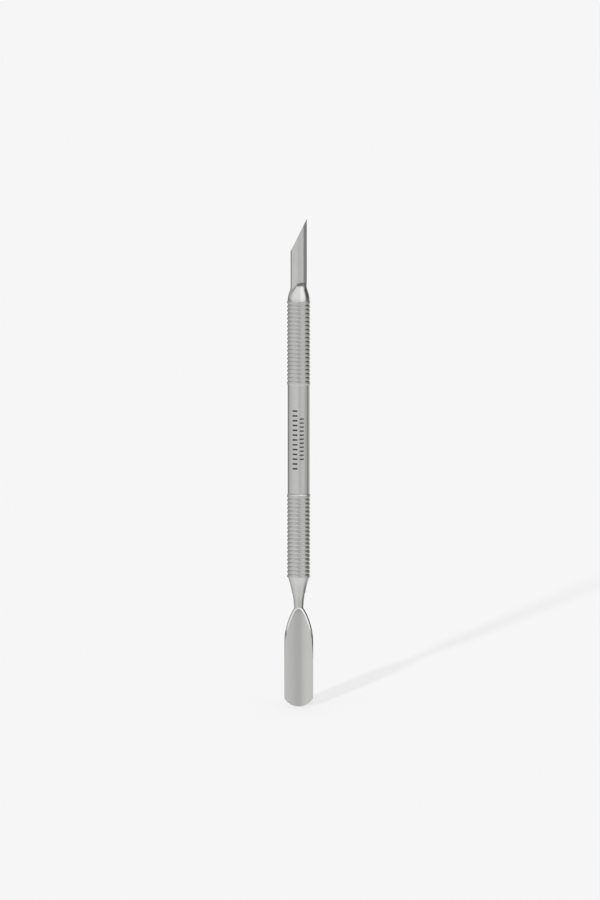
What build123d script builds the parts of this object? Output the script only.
"""Double-ended cuticle pusher in stainless steel.

Frame: +Z runs up the tool towards the slanted blade, -Y is the front that the spoon's
hollow faces, +X is to the right. The origin is the middle of the handle's smooth barrel.
Everything is in millimetres.
"""
import os
from math import cos, radians, sin, tan

from build123d import *

# Driving dimensions -----------------------------------------------------------------

# Handle: an eight-sided bar with softly crowned facets, one edge to the front.
GRIP_RADIUS = 3.215  # axis to the edges of the ribbed grips
BARREL_RADIUS = 3.065  # axis to the edges of the recessed smooth barrel
SIDE_EDGE_ANGLE = 38.0  # from +X round to the edges beside the front one
CROWN_RATIO = 1.55  # a facet's crown radius over the section's own radius
BARREL_END = 15.5  # half the length between the two grips
COVE_LENGTH = 0.3  # the barrel's ends swell out to the grips in two steps:
COVE_RISE = 0.03  # a shallow one, then a steeper one
SHOULDER_LENGTH = 0.24
SHOULDER_RISE = 0.1
GRIP_END = 38.5  # height of the grips' outer ends

# Turned grooves of one grip.
GROOVE_COUNT = 20
GROOVE_PITCH = 1.115
GROOVE_END_GAP = 0.9  # outer end of a grip to its first groove
GROOVE_TOOL_RADIUS = 0.42
GROOVE_BOTTOM_RADIUS = 3.0

# Inside of the handle.
SEAT_RADIUS = 2.45  # the tube's round seat under each grip
SEAT_END = 36.5
BORE_RADIUS = 1.75
PLUG_DEPTH = 7.0  # how far a ferrule reaches into the tube
TANG_RADIUS = 1.15
TANG_DEPTH = 7.5  # how far a tang reaches below the grip's outer end

# Upper ferrule: a turned nose that closes round the blade.
NOSE_BASE_RADIUS = 3.13
NOSE_MIDDLE = (2.9, 40.1)
NOSE_SHOULDER = (2.42, 41.7)
NOSE_SHOULDER_TURN = (-0.3, 1.0)  # the profile's direction above the shoulder
NOSE_TOP = (2.2, 43.7)
TOP_FLAT_NORMAL = (0.0, -1.0, 1.0)  # two flats lead from the nose to the blade's front
TOP_FLAT_POINT = (0.0, -1.5, 43.5)
LEFT_FLAT_NORMAL = (-1.58, -1.0, 1.0)
LEFT_FLAT_POINT = (-0.42, -2.26, 42.74)

# Slanted blade: two crowned facets in front, a flat back, both long edges bevelled.
BLADE_LEFT = -2.25
BLADE_RIGHT = 2.26
BLADE_RIDGE = (-0.11, -1.5)
BLADE_LEFT_SHOULDER = (-2.0, -0.74)
BLADE_RIGHT_SHOULDER = (1.36, -0.92)
BLADE_LEFT_BEVEL_Y = 0.1
BLADE_RIGHT_BEVEL_Y = -0.05
BLADE_BACK_Y = 0.5
BLADE_CROWN_RADIUS = 4.2
BLADE_HEEL_Z = 52.4  # the short side of the slanted end
BLADE_TIP_Z = 61.4  # the long side, which ends in the point
GRIND_EDGE_Y = 0.1  # where the face ground on the back reaches the slanted end
GRIND_WIDTH = 4.2  # how far that face runs back from the slanted end
SLOT_START_Z = 40.6  # the blade's full section starts here, inside the ferrule

# Lower ferrule: a slender neck that tapers to the spoon's stem.
NECK_BASE_RADIUS = 3.02
NECK_MIDDLE = (2.33, -40.7)
NECK_TIP = (1.9, -42.85)

# Spoon-shaped pusher with its stem.
STEM_TOP_RADIUS = 1.83
STEM_MIDDLE = (1.5, -44.6)
STEM_WAIST = (1.36, -46.2)
STEM_POINT = (0.5, -58.0)
LEAF_NECK = (1.44, -47.4)
LEAF_HALF_WIDTH = 4.04
LEAF_FULL_Z = -56.8  # the leaf has its full width from here down
LEAF_CORNER_Z = -72.45
LEAF_END_Z = -74.95
RIM_WIDTH = 0.45  # the steep bevel along the leaf's outline
RIM_DEPTH = 0.6
LIP_FRONT = 0.3  # the shallow bevel inside it, as cut from the front face
LIP_SIDE = 0.25  # and from the steep bevel
HOLLOW_APEX = (-1.5, -48.2)  # y and z of the point where the hollow starts
HOLLOW_RADIUS = 9.0
HOLLOW_LEAN = tan(radians(3.3))  # the hollow leans back towards the end
FRONT_LEAN = tan(radians(3.3))  # the leaf's front leans forward towards the end
BACK_RADIUS = 9.6
LEAF_ROOT_THICKNESS = 1.3
LEAF_END_THICKNESS = 0.42

FAR = 20.0  # longer than any cut needs
PLUG_END = SEAT_END - PLUG_DEPTH
TANG_END = GRIP_END - TANG_DEPTH


def crowned_section(radius, height):
    """Return the eight-sided handle section at a height, each facet a shallow arc."""
    quarter = (0, SIDE_EDGE_ANGLE, 90, 180 - SIDE_EDGE_ANGLE)
    angles = quarter + tuple(angle + 180 for angle in quarter)
    corners = [(radius * cos(radians(a)), radius * sin(radians(a))) for a in angles]
    with BuildSketch(Plane.XY.offset(height)) as section:
        with BuildLine():
            for start, end in zip(corners, corners[1:] + corners[:1]):
                RadiusArc(start, end, -radius * CROWN_RATIO)
        make_face()
    return section.sketch


def ribbed_grip(side):
    """Return one grip, above the barrel for side +1 and below it for side -1."""
    inner_end = side * BARREL_END
    length = side * GRIP_END - inner_end
    with BuildPart() as grip:
        extrude(crowned_section(GRIP_RADIUS, inner_end), amount=length)
        with BuildSketch(Plane.XY.offset(inner_end)):
            Circle(SEAT_RADIUS)
        extrude(amount=length, mode=Mode.SUBTRACT)
        first_groove = GRIP_END - GROOVE_END_GAP
        groove_x = GROOVE_BOTTOM_RADIUS + GROOVE_TOOL_RADIUS
        heights = [side * (first_groove - i * GROOVE_PITCH) for i in range(GROOVE_COUNT)]
        with BuildSketch(Plane.XZ):
            with Locations([(groove_x, height) for height in heights]):
                Circle(GROOVE_TOOL_RADIUS)
        revolve(axis=Axis.Z, mode=Mode.SUBTRACT)
    return grip.part


def blade_section(height):
    """Return the blade's section: two crowned front facets, bevelled edges, flat back."""
    with BuildSketch(Plane.XY.offset(height)) as section:
        with BuildLine():
            RadiusArc(BLADE_LEFT_SHOULDER, BLADE_RIDGE, -BLADE_CROWN_RADIUS)
            RadiusArc(BLADE_RIDGE, BLADE_RIGHT_SHOULDER, -BLADE_CROWN_RADIUS)
            Polyline(
                BLADE_RIGHT_SHOULDER,
                (BLADE_RIGHT, BLADE_RIGHT_BEVEL_Y),
                (BLADE_RIGHT, BLADE_BACK_Y),
                (BLADE_LEFT, BLADE_BACK_Y),
                (BLADE_LEFT, BLADE_LEFT_BEVEL_Y),
                BLADE_LEFT_SHOULDER,
            )
        make_face()
    return section.sketch


def beyond(point, normal):
    """Return a block that fills the space in front of a flat."""
    flat = Plane(origin=point, z_dir=normal)
    return flat * Box(2 * FAR, 2 * FAR, FAR, align=(Align.CENTER, Align.CENTER, Align.MIN))


def cylinder_along(radius, start, end):
    """Return a long cylinder whose rearmost line runs through start and end, (y, z) points."""
    along = (Vector(0, *start) - Vector(0, *end)).normalized()
    forward = Vector(0, -along.Z, along.Y)
    centre = Vector(0, *start) + forward * radius
    axis_plane = Plane(origin=centre, x_dir=(1, 0, 0), z_dir=along)
    return axis_plane * Cylinder(radius, 4 * FAR)


# Handle tube ------------------------------------------------------------------------

with BuildPart() as handle_tube:
    shoulder_start = BARREL_END - SHOULDER_LENGTH
    cove_start = shoulder_start - COVE_LENGTH
    cove_radius = BARREL_RADIUS + COVE_RISE
    extrude(crowned_section(BARREL_RADIUS, -cove_start), amount=2 * cove_start)
    for side in (1, -1):
        barrel_section = crowned_section(BARREL_RADIUS, side * cove_start)
        cove_section = crowned_section(cove_radius, side * shoulder_start)
        rim_section = crowned_section(cove_radius + SHOULDER_RISE, side * BARREL_END)
        loft([barrel_section, cove_section], ruled=True)
        loft([cove_section, rim_section], ruled=True)
    with BuildSketch(Plane.XY.offset(-SEAT_END)):
        Circle(SEAT_RADIUS)
    extrude(amount=2 * SEAT_END)
    with BuildSketch(Plane.XY.offset(-SEAT_END)):
        Circle(BORE_RADIUS)
    extrude(amount=2 * SEAT_END, mode=Mode.SUBTRACT)
handle_tube.part.label = "handle_tube"

# Ribbed grips -----------------------------------------------------------------------

upper_grip = ribbed_grip(1)
upper_grip.label = "upper_grip"
lower_grip = ribbed_grip(-1)
lower_grip.label = "lower_grip"

# Upper ferrule ----------------------------------------------------------------------

flats = beyond(TOP_FLAT_POINT, TOP_FLAT_NORMAL) + beyond(LEFT_FLAT_POINT, LEFT_FLAT_NORMAL)

with BuildPart() as upper_ferrule:
    with BuildSketch(Plane.XZ):
        with BuildLine():
            ThreePointArc((NOSE_BASE_RADIUS, GRIP_END), NOSE_MIDDLE, NOSE_SHOULDER)
            Spline(NOSE_SHOULDER, NOSE_TOP, tangents=[NOSE_SHOULDER_TURN, (0, 1)])
            Polyline(
                NOSE_TOP,
                (0, NOSE_TOP[1]),
                (0, PLUG_END),
                (BORE_RADIUS, PLUG_END),
                (BORE_RADIUS, SEAT_END),
                (SEAT_RADIUS, SEAT_END),
                (SEAT_RADIUS, GRIP_END),
                (NOSE_BASE_RADIUS, GRIP_END),
            )
        make_face()
    revolve(axis=Axis.Z)
    add(flats, mode=Mode.SUBTRACT)
    extrude(blade_section(SLOT_START_Z), amount=FAR, mode=Mode.SUBTRACT)
    with BuildSketch(Plane.XY.offset(TANG_END)):
        Circle(TANG_RADIUS)
    extrude(amount=SLOT_START_Z - TANG_END, mode=Mode.SUBTRACT)
upper_ferrule.part.label = "upper_ferrule"

# Slanted blade ----------------------------------------------------------------------

with BuildPart() as slant_blade:
    extrude(blade_section(SLOT_START_Z), amount=BLADE_TIP_Z - SLOT_START_Z)
    heel = (BLADE_LEFT, BLADE_HEEL_Z)
    tip = (BLADE_RIGHT, BLADE_TIP_Z)
    with BuildSketch(Plane.XZ):
        with BuildLine():
            Polyline(heel, tip, (heel[0], tip[1]), heel)
        make_face()
    extrude(amount=FAR, both=True, mode=Mode.SUBTRACT)
    # The cutting face, ground on the back along the slanted end.
    edge_direction = Vector(tip[0] - heel[0], 0, tip[1] - heel[1]).normalized()
    inwards = Vector(edge_direction.Z, 0, -edge_direction.X)
    grind_plane = Plane(origin=(heel[0], 0, heel[1]), x_dir=inwards, z_dir=edge_direction)
    grind_slope = (BLADE_BACK_Y - GRIND_EDGE_Y) / GRIND_WIDTH
    with BuildSketch(grind_plane):
        with BuildLine():
            Polyline(
                (-1, GRIND_EDGE_Y - grind_slope),
                (GRIND_WIDTH + 1, BLADE_BACK_Y + grind_slope),
                (-1, BLADE_BACK_Y + 1),
                close=True,
            )
        make_face()
    extrude(amount=FAR, both=True, mode=Mode.SUBTRACT)
    with BuildSketch(Plane.XY.offset(TANG_END)):
        Circle(TANG_RADIUS)
    extrude(amount=SLOT_START_Z - TANG_END)
slant_blade.part.label = "slant_blade"

# Lower ferrule ----------------------------------------------------------------------

with BuildPart() as lower_ferrule:
    with BuildSketch(Plane.XZ):
        with BuildLine():
            ThreePointArc((NECK_BASE_RADIUS, -GRIP_END), NECK_MIDDLE, NECK_TIP)
            Polyline(
                NECK_TIP,
                (TANG_RADIUS, NECK_TIP[1]),
                (TANG_RADIUS, -TANG_END),
                (0, -TANG_END),
                (0, -PLUG_END),
                (BORE_RADIUS, -PLUG_END),
                (BORE_RADIUS, -SEAT_END),
                (SEAT_RADIUS, -SEAT_END),
                (SEAT_RADIUS, -GRIP_END),
                (NECK_BASE_RADIUS, -GRIP_END),
            )
        make_face()
    revolve(axis=Axis.Z)
lower_ferrule.part.label = "lower_ferrule"

# Spoon pusher -----------------------------------------------------------------------

hollow_end_y = HOLLOW_APEX[0] + HOLLOW_LEAN * (HOLLOW_APEX[1] - LEAF_END_Z)
hollow_full_y = HOLLOW_APEX[0] + HOLLOW_LEAN * (HOLLOW_APEX[1] - LEAF_FULL_Z)
hollow_form = cylinder_along(HOLLOW_RADIUS, HOLLOW_APEX, (hollow_end_y, LEAF_END_Z))
back_form = cylinder_along(
    BACK_RADIUS,
    (hollow_full_y + LEAF_ROOT_THICKNESS, LEAF_FULL_Z),
    (hollow_end_y + LEAF_END_THICKNESS, LEAF_END_Z),
)

with BuildPart() as pusher_blade:
    # The leaf's outline, as seen from the front.
    with BuildSketch(Plane.XZ.offset(FAR)):
        with BuildLine():
            left_neck = (-LEAF_NECK[0], LEAF_NECK[1])
            left_full = (-LEAF_HALF_WIDTH, LEAF_FULL_Z)
            left_corner = (-LEAF_HALF_WIDTH, LEAF_CORNER_Z)
            right_full = (LEAF_HALF_WIDTH, LEAF_FULL_Z)
            right_corner = (LEAF_HALF_WIDTH, LEAF_CORNER_Z)
            flare = TangentArc(right_full, LEAF_NECK, tangent=(0, 1))
            TangentArc(LEAF_NECK, left_neck, tangent=flare % 1)
            TangentArc(left_full, left_neck, tangent=(0, 1))
            Line(left_full, left_corner)
            ThreePointArc(left_corner, (0, LEAF_END_Z), right_corner)
            Line(right_corner, right_full)
        make_face()
    extrude(amount=-2 * FAR)
    # The leaf's front face, which leans forward towards the end.
    with BuildSketch(Plane.YZ):
        with BuildLine():
            Polyline(
                (HOLLOW_APEX[0] + FRONT_LEAN * FAR, HOLLOW_APEX[1] + FAR),
                (HOLLOW_APEX[0] - FRONT_LEAN * 2 * FAR, HOLLOW_APEX[1] - 2 * FAR),
                (-2 * FAR, HOLLOW_APEX[1] - 2 * FAR),
                (-2 * FAR, HOLLOW_APEX[1] + FAR),
                close=True,
            )
        make_face()
    extrude(amount=FAR, both=True, mode=Mode.SUBTRACT)
    for front_length, side_length in ((RIM_WIDTH, RIM_DEPTH), (LIP_FRONT, LIP_SIDE)):
        front_face = pusher_blade.faces().sort_by(Axis.Y)[0]
        outer_edges = front_face.edges().sort_by(Axis.Z)[1:]
        chamfer(outer_edges, length=front_length, length2=side_length, reference=front_face)
    add(back_form, mode=Mode.INTERSECT)
    # The stem, which runs out in a ridge on the leaf's back.
    with BuildSketch(Plane.XZ):
        with BuildLine():
            ThreePointArc((STEM_TOP_RADIUS, NECK_TIP[1]), STEM_MIDDLE, STEM_WAIST)
            Polyline(
                STEM_WAIST,
                STEM_POINT,
                (0, STEM_POINT[1]),
                (0, -TANG_END),
                (TANG_RADIUS, -TANG_END),
                (TANG_RADIUS, NECK_TIP[1]),
                (STEM_TOP_RADIUS, NECK_TIP[1]),
            )
        make_face()
    revolve(axis=Axis.Z)
    add(hollow_form, mode=Mode.SUBTRACT)
pusher_blade.part.label = "pusher_blade"

# Write the files --------------------------------------------------------------------

os.makedirs("parts", exist_ok=True)
pieces = [
    handle_tube.part,
    upper_grip,
    lower_grip,
    upper_ferrule.part,
    slant_blade.part,
    lower_ferrule.part,
    pusher_blade.part,
]
for piece in pieces:
    export_step(piece, f"parts/{piece.label}.step")
